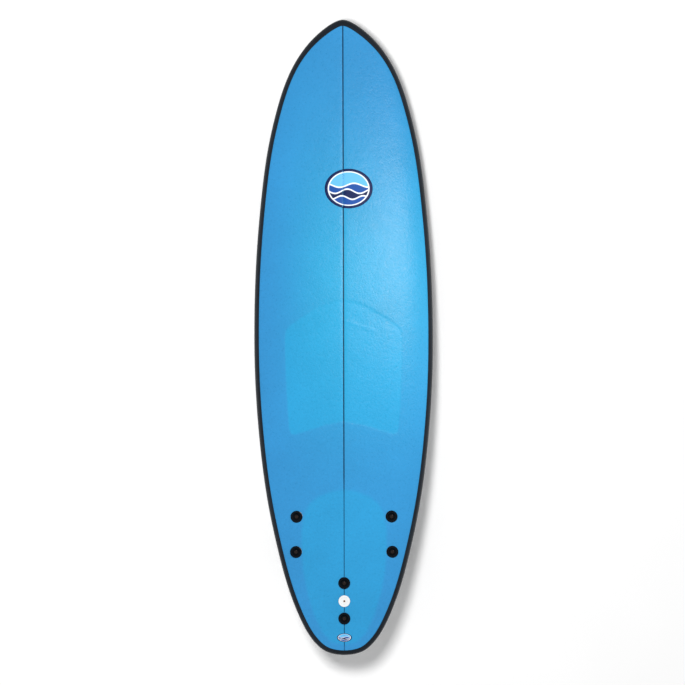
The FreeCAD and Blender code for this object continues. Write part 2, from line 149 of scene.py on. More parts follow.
# a low ridge across the chest panel, bent back at both sides
RIDGE_Y, RIDGE_SWEEP = 0.050, 0.35
RIDGE_FULL, RIDGE_REACH = 0.09, 0.118
RIDGE_HALF, RIDGE_HEIGHT = 0.004, 0.0005

# ---- Generic printed marks
BADGE_X, BADGE_Y = 0.017, 0.462
BADGE_LONG, BADGE_SHORT = 0.075, 0.062
TAIL_BADGE_Y = -0.936
TAIL_BADGE_LONG, TAIL_BADGE_SHORT = 0.023, 0.013
PRINT_SOFT = 0.012
PRINT_LINE, PRINT_RIM = 0.82, 0.87  # where the white line and the navy rim begin, as shares of the oval

# ---- Cutters
CUT_BELOW, CUT_ABOVE = 0.03, 0.02
HULL_CUT = 0.01
AXIS_REACH = 0.2
AXIS_HALVINGS = 40

# ---- Camera and light
CAMERA_LENS = 300.0
CAMERA_ROLL = 0.0026
SENSOR = 36.0
VIEW_WIDTH = 2.138022  # what the picture spans at VIEW_LEVEL
VIEW_LEVEL = 0.10
VIEW_CENTRE = (-0.0035, -0.0192)
FLOOR_Z = -0.024
FLOOR_HALF = 12.0
SKY_STRENGTH = 0.50


# ---- Curves and heights
def spline(points):
    """(curve, knots) of a smooth curve through points (natural cubic, chord-length)."""
    points = np.array(points, float)
    chord = np.hypot(*np.diff(points, axis=0).T)
    knots = np.concatenate(([0], np.cumsum(chord)))
    size = len(points)
    matrix = np.eye(size)
    right = np.zeros_like(points)
    for i in range(1, size - 1):
        before, after = chord[i - 1], chord[i]
        matrix[i, i - 1 : i + 2] = before, 2 * (before + after), after
        right[i] = 6 * ((points[i + 1] - points[i]) / after - (points[i] - points[i - 1]) / before)
    bend = np.linalg.solve(matrix, right)

    def at(t):
        i = np.clip(np.searchsorted(knots, t) - 1, 0, size - 2)
        step = chord[i][:, None]
        low = (knots[i + 1] - t)[:, None]
        high = (t - knots[i])[:, None]
        line = points[i] * low / step + points[i + 1] * high / step
        curve = bend[i] * (low**3 / step - step * low) + bend[i + 1] * (high**3 / step - step * high)
        return line + curve / 6

    return at, knots


def half_curve(right):
    """The right half of a smooth closed curve: a fine table of points, and the length up to each."""
    left = [(-x, y) for x, y in right]
    before = left[OUTLINE_WRAP:0:-1]
    after = left[-2 : -2 - OUTLINE_WRAP : -1]
    at, knots = spline(before + right + after)
    fine = at(np.linspace(knots[len(before)], knots[len(before) + len(right) - 1], OUTLINE_STEPS))
    length = np.concatenate(([0], np.cumsum(np.hypot(*np.diff(fine, axis=0).T))))
    return fine, length


OUTLINE_FINE, OUTLINE_LENGTH = half_curve([(h * MM, HALF_LENGTH - b * MM) for b, h in OUTLINE])


def half_width_squared(y):
    order = slice(None, None, -1)
    return np.interp(y, OUTLINE_FINE[order, 1], OUTLINE_FINE[order, 0] ** 2)


def spread_width(y):
    return np.sqrt(half_width_squared(y) + END_HALF_WIDTH**2)


def thickness(y):
    tip = np.where(y > 0, NOSE_TIP_THICKNESS, TAIL_TIP_THICKNESS)
    return tip + (THICKNESS - tip) * (1 - np.abs(y / HALF_LENGTH) ** FOIL_POWER)


def rocker(y):
    nose = NOSE_ROCKER * np.abs(y / HALF_LENGTH) ** NOSE_ROCKER_POWER
    tail = TAIL_ROCKER * np.abs(y / HALF_LENGTH) ** TAIL_ROCKER_POWER
    return np.where(y > 0, nose, tail)


def belly_height():
    """How high the hull's middle stands, with its belly touching the ground in front of it."""
    steep = NOSE_ROCKER * NOSE_ROCKER_POWER / HALF_LENGTH
    contact = HALF_LENGTH * (STANCE_SLOPE / steep) ** (1 / (NOSE_ROCKER_POWER - 1))
    return STANCE_SLOPE * contact - float(rocker(contact))


BELLY = belly_height()


def across(x, y, roll, power):
    share = x / spread_width(y)
    return (1 - roll) * share**2 + roll * share**power


def hull_height(x, y):
    rise = HULL_ROUND * thickness(y) * across(x, y, HULL_ROLL, HULL_ROLL_POWER)
    return rocker(y) - STANCE_SLOPE * y + BELLY + rise


def deck_height(x, y):
    drop = DECK_CROWN * thickness(y) * across(x, y, DECK_ROLL, DECK_ROLL_POWER)
    return rocker(y) - STANCE_SLOPE * y + BELLY + thickness(y) - drop


def rim_width(y):
    return RIM + (RIM_NOSE - RIM) * np.exp(-(((HALF_LENGTH - y) / RIM_NOSE_REACH) ** 2))


def stations(count):
    """(points on the right outline, inward directions) from the nose tip to the tail tip."""
    share = np.linspace(0, 1, count + 1)
    share = (1 - TIP_CROWDING) * share + TIP_CROWDING * (1 - np.cos(math.pi * share)) / 2
    where = share * OUTLINE_LENGTH[-1]
    point = np.stack([np.interp(where, OUTLINE_LENGTH, OUTLINE_FINE[:, k]) for k in (0, 1)], axis=1)
    along = np.gradient(OUTLINE_FINE, OUTLINE_LENGTH, axis=0)
    along = np.stack([np.interp(where, OUTLINE_LENGTH, along[:, k]) for k in (0, 1)], axis=1)
    along /= np.hypot(*along.T)[:, None]
    inward = np.stack([along[:, 1], -along[:, 0]], axis=1)
    point[[0, -1], 0] = 0
    inward[0] = 0, -1
    inward[-1] = 0, 1
    return point, inward


def smoothstep(low, high, value):
    t = np.clip((value - low) / (high - low), 0, 1)
    return t * t * (3 - 2 * t)


# ---- Small mesh helpers
def make_piece(name, verts, faces, material, node):
    """A smooth piece of the board that stands for a CAD node."""
    mesh = bpy.data.meshes.new(name)
    mesh.from_pydata([tuple(map(float, v)) for v in verts], [], faces)
    mesh.validate()
    piece = bpy.data.objects.new(name, mesh)
    bpy.context.scene.collection.objects.link(piece)
    piece.data.materials.append(material)
    mesh.shade_smooth()
    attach(piece, "board")
    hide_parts(node)
    return piece


def edit(piece, work, *settings):
    """Runs work on a bmesh of the piece and writes it back."""
    mesh = bmesh.new()
    mesh.from_mesh(piece.data)
    work(mesh, *settings)
    mesh.to_mesh(piece.data)
    mesh.free()
    piece.data.update()


def clean(mesh, near=MERGE):
    bmesh.ops.remove_doubles(mesh, verts=mesh.verts, dist=near)
    bmesh.ops.dissolve_degenerate(mesh, edges=mesh.edges, dist=near / 10)
    bmesh.ops.recalc_face_normals(mesh, faces=mesh.faces)


def mark_crisp(mesh):
    for edge in mesh.edges:
        if len(edge.link_faces) == 2 and edge.calc_face_angle(0) > math.radians(CRISP_ANGLE):
            edge.smooth = False


def sharpen(piece):
    """Smooth shading, with edges sharper than CRISP_ANGLE kept crisp."""
    piece.data.shade_smooth()
    edit(piece, mark_crisp)


# ---- Node-material helpers
class Nodes:
    """A short way to write a node tree. A source is a (node, output) pair, a number or a colour."""

    def __init__(self, name):
        self.material = bpy.data.materials.new(name)
        self.material.use_nodes = True
        self.tree = self.material.node_tree
        self.tree.nodes.clear()
        output = self.add("OutputMaterial")
        self.shader = self.add("BsdfPrincipled")
        self.feed((self.shader, "BSDF"), output.inputs["Surface"])
        self.coords = (self.add("TexCoord"), "Object")

    def add(self, kind, **values):
        """A new node. A value is for an input if one has its name, with _ for a space."""
        node = self.tree.nodes.new("ShaderNode" + kind)
        for key, value in values.items():
            label = key.replace("_", " ")
            if label in node.inputs:
                node.inputs[label].default_value = value
            else:
                setattr(node, key, value)
        return node

    def feed(self, source, socket):
        """Links a pair to an input, or sets the input to a number or colour."""
        if not isinstance(source, tuple):
            socket.default_value = source
        elif isinstance(source[0], bpy.types.Node):
            self.tree.links.new(source[0].outputs[source[1]], socket)
        else:
            socket.default_value = (*source, 1.0)

    def texture(self, kind, output, stretch=(1, 1, 1), **values):
        node = self.add(kind, **values)
        mapping = self.add("Mapping", Scale=stretch)
        self.feed(self.coords, mapping.inputs["Vector"])
        self.feed((mapping, "Vector"), node.inputs["Vector"])
        return node, output

    def noise(self, scale, detail=3.0, roughness=0.5, stretch=(1, 1, 1)):
        return self.texture("TexNoise", "Fac", stretch, Scale=scale, Detail=detail, Roughness=roughness)

    def cells(self, scale, feature="F1"):
        return self.texture("TexVoronoi", "Distance", feature=feature, Scale=scale)

    def mask(self, name):
        """A value stored on the mesh's points."""
        return self.add("Attribute", attribute_name=name), "Fac"

    def span(self, source, low, high, to_low=0.0, to_high=1.0):
        """Maps a value from one range to another."""
        node = self.add("MapRange", From_Min=low, From_Max=high, To_Min=to_low, To_Max=to_high)
        self.feed(source, node.inputs["Value"])
        return node, "Result"

    def math(self, operation, *sources):
        """Adds or multiplies the sources in turn."""
        total = sources[0]
        for source in sources[1:]:
            node = self.add("Math", operation=operation)
            self.feed(total, node.inputs[0])
            self.feed(source, node.inputs[1])
            total = node, "Value"
        return total

    def grey(self, source):
        node = self.add("CombineColor")
        for channel in ("Red", "Green", "Blue"):
            self.feed(source, node.inputs[channel])
        return node, "Color"

    def mix(self, share, first, second, blend="MIX"):
        """Mixes two colours, share being how much of the second there is."""
        node = self.add("Mix", data_type="RGBA", blend_type=blend)
        self.feed(share, node.inputs["Factor"])
        for name, source in (("A", first), ("B", second)):
            for socket in node.inputs:
                if socket.name == name and socket.type == "RGBA":
                    self.feed(source, socket)
        return node, [socket.type for socket in node.outputs].index("RGBA")

    def bump(self, height, distance, strength, under=None):
        node = self.add("Bump", Strength=strength, Distance=distance)
        self.feed(height, node.inputs["Height"])
        if under is not None:
            self.feed(under, node.inputs["Normal"])
        return node, "Normal"

    def surface(self, **sources):
        """Feeds the shader's named inputs, with _ for a space, and gives the material."""
        for key, source in sources.items():
            self.feed(source, self.shader.inputs[key.replace("_", " ")])
        return self.material


def srgb(red, green, blue):
    """A linear colour from 0-255 screen values."""
    result = []
    for value in (red, green, blue):
        share = value / 255
        result.append(share / 12.92 if share <= 0.04045 else ((share + 0.055) / 1.055) ** 2.4)
    return tuple(result)


# ---- Materials
def foam_deck_material():
    """Closed-cell deck foam: pebbled skin, lighter and smoother where the panels were pressed, and painted
    greener and lighter where the light falls on the deck's middle.
    """
    n = Nodes("deck_foam")
    panel, crease, painted_light_tint = n.mask("panel"), n.mask("crease"), n.mask("painted_light_tint")
    # painted light: plain and pressed foam turn greener and lighter by the painted_light_tint mask
    plain = n.mix(painted_light_tint, srgb(46, 133, 190), srgb(37, 150, 193))
    pressed = n.mix(painted_light_tint, srgb(37, 144, 195), srgb(36, 153, 197))
    cloud = n.noise(5.0, 4.0)
    mottle = n.noise(150.0, 3.0, 0.6)
    speck = n.noise(420.0, 2.0, 0.6)
    tones = (
        n.span(cloud, 0.3, 0.7, -0.05, 0.05),
        n.span(mottle, 0.3, 0.7, -0.05, 0.05),
        n.span(speck, 0.3, 0.7, -0.03, 0.03),
    )
    base = n.mix(panel, plain, pressed)
    base = n.mix(1.0, base, n.grey(n.math("ADD", *tones, 1.0)), "MULTIPLY")
    base = n.mix(crease, base, srgb(0, 14, 44))
    pebble = n.span(n.cells(520.0, "SMOOTH_F1"), 0.0, 0.8, 1.0, 0.0)
    fine = n.span(n.noise(1500.0, 2.0), 0, 1, 0, 0.25)
    relief = n.math("MULTIPLY", n.math("ADD", pebble, fine), n.span(panel, 0, 1, 1.0, 0.7))
    wave = n.bump(n.noise(28.0, 2.0), 0.0016, 0.35)
    grain = n.bump(mottle, 0.0012, 0.5, under=wave)
    skin = n.bump(relief, 0.00022, 0.8, under=grain)
    rough = n.span(mottle, 0.3, 0.7, 0.26, 0.35)
    return n.surface(Base_Color=base, Normal=skin, Roughness=rough, Specular_IOR_Level=0.30)


def foam_rail_material():
    """Black rail foam: skived surface with fine cells and faint lengthwise rub marks."""
    n = Nodes("rail_foam")
    cloud = n.noise(9.0, 4.0)
    rub = n.noise(60.0, 3.0, 0.6, stretch=(3.0, 0.25, 3.0))
    base = n.mix(n.span(cloud, 0.3, 0.7), srgb(13, 20, 27), srgb(22, 31, 40))
    base = n.mix(n.span(rub, 0.55, 0.8, 0, 0.35), base, srgb(41, 50, 59))
    relief = n.math("ADD", n.span(n.cells(700.0), 0, 0.9, 1, 0), n.span(rub, 0, 1, 0, 0.6))
    skin = n.bump(relief, 0.00018, 0.7)
    rough = n.span(cloud, 0.3, 0.7, 0.48, 0.62)
    return n.surface(Base_Color=base, Normal=skin, Roughness=rough, Specular_IOR_Level=0.25)


def slick_material():
    """The hull's slick sheet: hard, slightly waxy, with drawn grain and fine scratches."""
    n = Nodes("hull_slick")
    cloud = n.noise(3.0, 4.0)
    grain = n.noise(45.0, 4.0, 0.6, stretch=(6.0, 0.12, 6.0))
    scratch = n.noise(160.0, 2.0, 0.7, stretch=(4.0, 0.05, 4.0))
    base = n.mix(n.span(cloud, 0.3, 0.7), srgb(226, 230, 233), srgb(238, 240, 241))
    base = n.mix(n.span(scratch, 0.66, 0.8, 0, 0.3), base, srgb(198, 204, 210))
    skin = n.bump(grain, 0.00012, 0.5, under=n.bump(n.noise(16.0, 2.0), 0.001, 0.25))
    rough = n.span(grain, 0.3, 0.7, 0.2, 0.34)
    return n.surface(Base_Color=base, Normal=skin, Roughness=rough, Specular_IOR_Level=0.5)


def bead_foam_material():
    """Expanded bead foam, for the core."""
    n = Nodes("core_foam")
    beads = n.cells(330.0)[0], "Color"
    edges = n.cells(330.0, "DISTANCE_TO_EDGE")
    base = n.mix(n.span(edges, 0.0, 0.08, 1, 0), srgb(240, 240, 237), srgb(205, 206, 204))
    skin = n.bump(n.span(edges, 0, 0.25), 0.0006, 0.8)
    return n.surface(Base_Color=n.mix(0.06, base, beads), Normal=skin, Roughness=0.75, Specular_IOR_Level=0.3)


def plywood_material():
    n = Nodes("plywood")
    grain = n.noise(30.0, 6.0, 0.65, stretch=(9.0, 0.5, 9.0))
    pore = n.noise(220.0, 3.0, 0.6, stretch=(6.0, 0.3, 6.0))
    base = n.mix(n.span(grain, 0.35, 0.65), srgb(196, 156, 105), srgb(160, 116, 70))
    base = n.mix(n.span(pore, 0.62, 0.75, 0, 0.6), base, srgb(112, 78, 46))
    return n.surface(Base_Color=base, Normal=n.bump(pore, 0.0002, 0.6), Roughness=0.62)


def moulded_material(name, colour, worn, rough_low, rough_high, grain=900.0, coat=0.0, shine=0.5):
    """Injection-moulded plastic with a fine spark texture, a little wear and cloudiness."""
    n = Nodes(name)
    cloud = n.noise(60.0, 3.0)
    spark = n.noise(grain, 2.0, 0.6)
    scuff = n.noise(140.0, 4.0, 0.7, stretch=(1.0, 0.35, 1.0))
    base = n.mix(n.span(cloud, 0.3, 0.7, 0, 0.5), colour, worn)
    base = n.mix(n.span(scuff, 0.62, 0.8, 0, 0.5), base, worn)
    rough = n.span(scuff, 0.3, 0.8, rough_low, rough_high)
    n.surface(Base_Color=base, Normal=n.bump(spark, 0.00006, 0.7), Roughness=rough)
    return n.surface(Specular_IOR_Level=shine, Coat_Weight=coat, Coat_Roughness=0.15)


def plug_material():
    """White moulded plastic, stained round the cord hole."""
    n = Nodes("plug_plastic")
    apart = n.add("VectorMath", operation="DISTANCE")
    n.feed(n.coords, apart.inputs[0])
    apart.inputs[1].default_value = DECK_SPOTS["plug"]
    stain = n.span((apart, "Value"), STAIN_REACH, 0.6 * STAIN_REACH, 0, 0.75)
    base = n.mix(n.span(n.noise(60.0, 3.0), 0.3, 0.7, 0, 0.5), srgb(226, 229, 230), srgb(206, 209, 210))
    base = n.mix(stain, base, srgb(214, 160, 130))
    skin = n.bump(n.noise(900.0, 2.0), 0.00006, 0.7)
    return n.surface(Base_Color=base, Normal=skin, Roughness=0.42, Specular_IOR_Level=0.3)


def metal_material(name, colour, dark, rough, grain=400.0):
    """Turned metal with fine tool marks and a little tarnish."""
    n = Nodes(name)
    tarnish = n.noise(180.0, 4.0, 0.6)
    marks = n.noise(grain, 3.0, 0.7, stretch=(1.0, 1.0, 6.0))
    base = n.mix(n.span(tarnish, 0.4, 0.75, 0, 0.6), colour, dark)
    shine = n.span(tarnish, 0.3, 0.7, rough, rough + 0.16)
    return n.surface(Base_Color=base, Normal=n.bump(marks, 0.00004, 0.6), Roughness=shine, Metallic=1.0)


def floor_material():
    n = Nodes("floor")
    base = n.mix(n.span(n.noise(2.0, 2.0), 0.3, 0.7), (0.92, 0.92, 0.92), (0.94, 0.94, 0.94))
    return n.surface(Base_Color=base, Roughness=0.9, Specular_IOR_Level=0.1)


def badge_material():
    """An oval of layered waves: navy rim, white line, light-blue and navy swells."""
    n = Nodes("badge_print")
    place = n.add("UVMap", uv_map="print"), "UV"
    apart = n.add("SeparateXYZ")
    n.feed(place, apart.inputs["Vector"])
    radius = n.add("VectorMath", operation="LENGTH")
    n.feed(place, radius.inputs[0])

    def past(value, edge=0.0):
        return n.span(value, edge - PRINT_SOFT, edge + PRINT_SOFT)

    def above_wave(frequency, phase, height, level):
        """How far a point is above a wavy line."""
        sine = n.add("Math", operation="SINE")
        n.feed(n.math("ADD", n.math("MULTIPLY", (apart, "X"), frequency), phase), sine.inputs[0])
        return n.math("ADD", (apart, "Y"), n.math("MULTIPLY", (sine, "Value"), -height), -level)

    navy, white, sky, deep = srgb(8, 26, 74), srgb(240, 244, 248), srgb(96, 178, 226), srgb(22, 74, 150)
    # frequency, phase, height and level of each wave's top, and what is painted below it
    swells = (
        (5.2, 0.4, 0.10, 0.20, white), (5.2, 0.4, 0.10, 0.13, deep),
        (6.1, 1.9, 0.11, -0.10, white), (6.1, 1.9, 0.11, -0.17, navy),
        (7.0, 3.6, 0.09, -0.42, white), (7.0, 3.6, 0.09, -0.49, deep),
    )
    colour = sky
    for *wave, paint in swells:
        colour = n.mix(past(above_wave(*wave)), paint, colour)
    colour = n.mix(past((radius, "Value"), PRINT_LINE), colour, white)
    colour = n.mix(past((radius, "Value"), PRINT_RIM), colour, navy)
    skin = n.bump(n.noise(300.0, 2.0), 0.0001, 0.4)
    return n.surface(Base_Color=colour, Normal=skin, Roughness=0.42, Specular_IOR_Level=0.2)


# ---- Where the hardware sits, from the CAD's joints and mount
def screw_axes():
    """tag: (point on the bolt's axis, direction up it)."""
    axes = {}
    for joint in frame["joints"]:
        if joint["name"].endswith("_turn"):
            tag = joint["name"][len("screw_") : -len("_turn")]
            axes[tag] = (Vector(joint["pos_m"]), Vector(joint["axis"]).normalized())
    return axes


def on_surface(point, direction, height):
    """Where an axis meets the deck or hull."""
    low, high = -AXIS_REACH, AXIS_REACH
    for _ in range(AXIS_HALVINGS):
        middle = (low + high) / 2
        spot = point + direction * middle
        if spot.z < float(height(spot.x, spot.y)):
            low = middle
        else:
            high = middle
    return point + direction * low


SCREWS = screw_axes()
PLUG_AXIS = Vector(frame["record"]["mounts"][0]["axis"]).normalized()
PLUG_POINT = Vector(frame["record"]["mounts"][0]["pos_m"])
DECK_SPOTS = {tag: on_surface(p, a, deck_height) for tag, (p, a) in SCREWS.items()}
DECK_SPOTS["plug"] = on_surface(PLUG_POINT, PLUG_AXIS, deck_height)


# ---- Rail band
def bezier(a, b, c, d, share):
    rest = 1 - share
    return a * rest**3 + b * (3 * rest**2 * share) + c * (3 * rest * share**2) + d * share**3


def rail_section(point, inward):
    """Closed loop of points round the rail at one station, from the deck seam outwards."""
    rim = float(rim_width(point[1]))

    def at(inset, height):
        spot = point + inward * inset
        return np.array([spot[0], spot[1], float(height(spot[0], spot[1]))])

    seams = {}
    for key, height in (("deck", deck_height), ("hull", hull_height)):
        start = at(rim, height)
        seams[key] = (start, at(rim - MM, height) - start)
    top, bottom = seams["deck"][0], seams["hull"][0]
    apex = np.array([point[0], point[1], bottom[2] + RAIL_APEX * (top[2] - bottom[2])])
    quarters = []
    for key, (start, ahead) in seams.items():
        shoulder = start + ahead * (RAIL_SHOULDER * rim / MM)
        corner = np.array([apex[0], apex[1], apex[2] + RAIL_SHOULDER * (shoulder[2] - apex[2])])
        quarter = []
        for step in range(RAIL_ARC_POINTS + 1):
            share = (step / RAIL_ARC_POINTS) ** RAIL_ARC_BIAS
            quarter.append(bezier(start, shoulder, corner, apex, share))
        quarter[0] = quarter[0] + np.array([0, 0, SEAM_DROP[key]])
        quarter.insert(1, bezier(start, shoulder, corner, apex, SEAM_ROUND / rim / 2))
        quarters.append(quarter)
    return quarters[0] + quarters[1][-2::-1]


def make_rail(name, sign, node):
    point, inward = stations(RAIL_STATIONS)
    verts = []
    for p, n in zip(point, inward):
        verts.extend(rail_section(p, n))
    ring = len(verts) // len(point)
    verts = np.array(verts) * (sign, 1, 1)
    faces = []
    for row in range(len(point) - 1):
        for column in range(ring):
            a = row * ring + column
            b = row * ring + (column + 1) % ring
            faces.append((a, b, b + ring, a + ring))
    faces.append(tuple(range(ring)))
    last = (len(point) - 1) * ring
    faces.append(tuple(range(last + ring - 1, last - 1, -1)))
    rail = make_piece(name, verts, faces, RAIL_FOAM, node)
    edit(rail, clean)
    sharpen(rail)


# ---- Deck and hull sheets
def loop_distance(x, y, half):
    """Signed distance to a panel's outline, negative inside."""
    loop = np.array(list(half) + [(-px, py) for px, py in reversed(half[1:-1])])
    best = np.full(x.shape, np.inf)
    inside = np.zeros(x.shape, bool)
    for a, b in zip(loop, np.roll(loop, -1, axis=0)):
        ab = b - a
        t = np.clip(((x - a[0]) * ab[0] + (y - a[1]) * ab[1]) / (ab @ ab), 0, 1)
        best = np.minimum(best, np.hypot(x - a[0] - t * ab[0], y - a[1] - t * ab[1]))
        crosses = (a[1] > y) != (b[1] > y)
        with np.errstate(divide="ignore", invalid="ignore"):
            hit = a[0] + (y - a[1]) * ab[0] / ab[1]
        inside ^= crosses & (x < hit)
    return np.where(inside, -best, best)


def crease_mask(x, half):
    """1 at the bottom of a crease of that half width along the centre line, 0 outside it."""
    return smoothstep(CREASE_SHOULDER * half, CREASE_FOOT * half, np.abs(x))


def deck_detail(x, y):
    """(height added to the deck, panel mask, crease's colour mask, mask of painted light over the deck's
    middle).
    """
    chest_in = smoothstep(PANEL_EDGE, -PANEL_EDGE, loop_distance(x, y, CHEST_PANEL))
    tail_edge = TAIL_PANEL_SOFTER * PANEL_EDGE
    tail_in = smoothstep(tail_edge, -tail_edge, loop_distance(x, y, TAIL_PANEL))
    lift = -PANEL_DEPTH * (chest_in + TAIL_PANEL_SHALLOWER * tail_in)
    ridge_y = y - RIDGE_Y + RIDGE_SWEEP * np.abs(x)
    ridge = np.exp(-((ridge_y / RIDGE_HALF) ** 2)) * smoothstep(RIDGE_REACH, RIDGE_FULL, np.abs(x))
    lift += RIDGE_HEIGHT * ridge * chest_in
    for spot in DECK_SPOTS.values():
        away = np.hypot(x - spot.x, y - spot.y) - POCKET_RADIUS
        lift -= DIMPLE_DEPTH * smoothstep(DIMPLE_REACH, 0, away)
    lift -= CREASE_DEPTH * crease_mask(x, CREASE_HALF)
    lift -= VALLEY_DEPTH * np.exp(-((np.abs(x) / VALLEY_HALF) ** 2))
    front = smoothstep(LINE_BACK, LINE_FRONT, y)
    line = crease_mask(x, CREASE_HALF * (1 + LINE_WIDER * front))
    line *= LINE_FAINT + (1 - LINE_FAINT) * front
    # painted light: a soft patch right of the centre line where the deck's colour is made greener and lighter
    painted_light_tint = np.exp(-(((y - PAINTED_LIGHT_Y) / PAINTED_LIGHT_LONG) ** 2) - ((x - PAINTED_LIGHT_X) / PAINTED_LIGHT_WIDE) ** 4)
    return lift, np.clip(chest_in + TAIL_PANEL_PALER * tail_in, 0, 1), line, painted_light_tint


def sheet_columns(reach, count):
    """Places across half a row, from the centre line out, close together beside the crease."""
    near = np.array(CREASE_COLUMNS) * MM
    near = near * np.minimum(1, reach / CREASE_COLUMNS_REACH)
    far = near[-1] + (reach - near[-1]) * np.linspace(0, 1, count + 1)[1:]
    return np.concatenate((near, far))


def sheet_grid(rows, columns):
    """Points over the whole area inside the rail seam: arrays of rows by columns, left to right."""
    point, inward = stations(rows)
    seam = point + inward * rim_width(point[:, 1])[:, None]
    xs, ys = [], []
    front, back = seam[0, 1], seam[-1, 1]
    for x_end, y_end in seam:
        share = (front - y_end) / (front - back)
        middle = front - TIP_ROOM - share * (front - back - 2 * TIP_ROOM)
        across_half = sheet_columns(max(x_end, 0.0), columns)
        part = across_half / x_end if x_end > TINY else np.linspace(0, 1, len(across_half))
        along = middle + (y_end - middle) * part
        xs.append(np.concatenate((-across_half[:0:-1], across_half)))
        ys.append(np.concatenate((along[:0:-1], along)))
    return np.array(xs), np.array(ys)


def make_sheet(name, rows, columns, height, thick, detail, material, node):
    """A closed sheet: its show face follows height plus detail, its back face lies thick behind."""
    xs, ys = sheet_grid(rows, columns)
    z = height(xs, ys)
    show = z
    masks = ()
    if detail is not None:
        lift, *masks = detail(xs, ys)
        edge = np.zeros(xs.shape)
        edge[:, [0, -1]] = SEAM_ROUND
        show = z + lift - edge
    count = xs.size
    wide = xs.shape[1]
    sides = [np.stack([xs, ys, level], -1).reshape(-1, 3) for level in (show, z + thick)]
    faces = []
    for row in range(xs.shape[0] - 1):
        for column in range(wide - 1):
            a = row * wide + column
            quad = (a, a + 1, a + 1 + wide, a + wide)
            faces.append(quad)
            faces.append(tuple(v + count for v in reversed(quad)))
    rim = [row * wide for row in range(xs.shape[0])]
    rim += [row * wide + wide - 1 for row in range(xs.shape[0] - 1, -1, -1)]
    for a, b in zip(rim, rim[1:]):
        faces.append((a, b, b + count, a + count))
    piece = make_piece(name, np.concatenate(sides), faces, material, node)
    # the third mask holds painted light: where the deck is tinted greener and lighter
    for label, mask in zip(("panel", "crease", "painted_light_tint"), masks):
        values = np.concatenate((mask.reshape(-1), np.zeros(count)))
        store = piece.data.attributes.new(label, "FLOAT", "POINT")
        store.data.foreach_set("value", values.astype(np.float32))
    edit(piece, clean)
    return piece


def lathe(mesh, profile, place):
    """Adds a closed turned shape: profile is (radius, height) from its foot to its top."""
    rings = []
    for radius, height in profile:
        ring = []
        for step in range(LATHE_STEPS):
            angle = 2 * math.pi * step / LATHE_STEPS
            spot = Vector((radius * math.cos(angle), radius * math.sin(angle), height))
            ring.append(mesh.verts.new(place @ spot))
        rings.append(ring)
    for low, high in zip(rings, rings[1:]):
        for step in range(LATHE_STEPS):
            after = (step + 1) % LATHE_STEPS
            mesh.faces.new((low[step], low[after], high[after], high[step]))
    mesh.faces.new(rings[0][::-1])
    mesh.faces.new(rings[-1])


def facing(point, direction):
    return Matrix.Translation(point) @ direction.to_track_quat("Z", "Y").to_matrix().to_4x4()


def cut_round(piece, cutters):
    """Cuts turned shapes, given as (point on the axis, direction, profile), out of a piece."""
    mesh = bmesh.new()
    for point, direction, profile in cutters:
        lathe(mesh, profile, facing(point, direction))
    data = bpy.data.meshes.new(piece.name + "_cutter")
    mesh.to_mesh(data)
    mesh.free()
    cutter = bpy.data.objects.new(data.name, data)
    bpy.context.scene.collection.objects.link(cutter)
    modifier = piece.modifiers.new("cut", "BOOLEAN")
    modifier.operation = "DIFFERENCE"
    modifier.solver = "EXACT"
    modifier.object = cutter
    bpy.context.view_layer.update()
    result = bpy.data.meshes.new_from_object(piece.evaluated_get(bpy.context.evaluated_depsgraph_get()))
    piece.modifiers.clear()
    old = piece.data
    piece.data = result
    bpy.data.meshes.remove(old)
    bpy.data.objects.remove(cutter)
    bpy.data.meshes.remove(data)
    edit(piece, clean, MERGE_AFTER_CUT)


def pocket_profile(hole, radius, depth):
    """A flange's pocket, with a hole below it right through the skin."""
    return ((hole, -CUT_BELOW), (hole, -depth), (radius, -depth), (radius, CUT_ABOVE))


def make_badge(name, x0, y0, half_long, half_short, node):
    """A thin oval film that lies on the deck and dips with its crease."""
    circle = []
    for ring in range(BADGE_RINGS + 1):
        share = ring / BADGE_RINGS
        for spoke in range(BADGE_SPOKES):
            angle = 2 * math.pi * spoke / BADGE_SPOKES
            circle.append((share * math.cos(angle), share * math.sin(angle)))
    circle = np.array(circle)
    x = x0 + half_long * circle[:, 0]
    y = y0 + half_short * circle[:, 1]
    z = deck_height(x, y) + deck_detail(x, y)[0]
    sides = [np.stack([x, y, z + level], -1) for level in (FILM_LIFT, FILM_GAP)]
    layer = len(circle)
    faces = []
    for back in (0, 1):
        for ring in range(BADGE_RINGS):
            for spoke in range(BADGE_SPOKES):
                a = back * layer + ring * BADGE_SPOKES + spoke
                b = back * layer + ring * BADGE_SPOKES + (spoke + 1) % BADGE_SPOKES
                quad = (a, b, b + BADGE_SPOKES, a + BADGE_SPOKES)
                faces.append(quad[::-1] if back == 0 else quad)
    for spoke in range(BADGE_SPOKES):
        a = BADGE_RINGS * BADGE_SPOKES + spoke
        b = BADGE_RINGS * BADGE_SPOKES + (spoke + 1) % BADGE_SPOKES
        faces.append((a, b, b + layer, a + layer))
    film = make_piece(name, np.concatenate(sides), faces, BADGE, node)
    uv = film.data.uv_layers.new(name="print")
    for loop in film.data.loops:
        uv.data[loop.index].uv = circle[loop.vertex_index % layer]
    edit(film, clean)


# ---- Build the pieces
DECK_FOAM = foam_deck_material()
RAIL_FOAM = foam_rail_material()
SLICK = slick_material()
BADGE = badge_material()

make_rail("rail_foam_right", 1, "rail_right")
make_rail("rail_foam_left", -1, "rail_left")

deck = make_sheet(
    "deck_foam", DECK_ROWS, DECK_COLUMNS, deck_height, -DECK_SKIN, deck_detail,
    DECK_FOAM, "deck_skin",
)
pockets = []
for tag, (point, direction) in SCREWS.items():
    pockets.append((DECK_SPOTS[tag], direction, pocket_profile(CUP_HOLE, POCKET_RADIUS, POCKET_DEPTH)))
plug_profile = pocket_profile(PLUG_HOLE, PLUG_POCKET_RADIUS, PLUG_POCKET_DEPTH)
pockets.append((DECK_SPOTS["plug"], PLUG_AXIS, plug_profile))
cut_round(deck, pockets)
sharpen(deck)

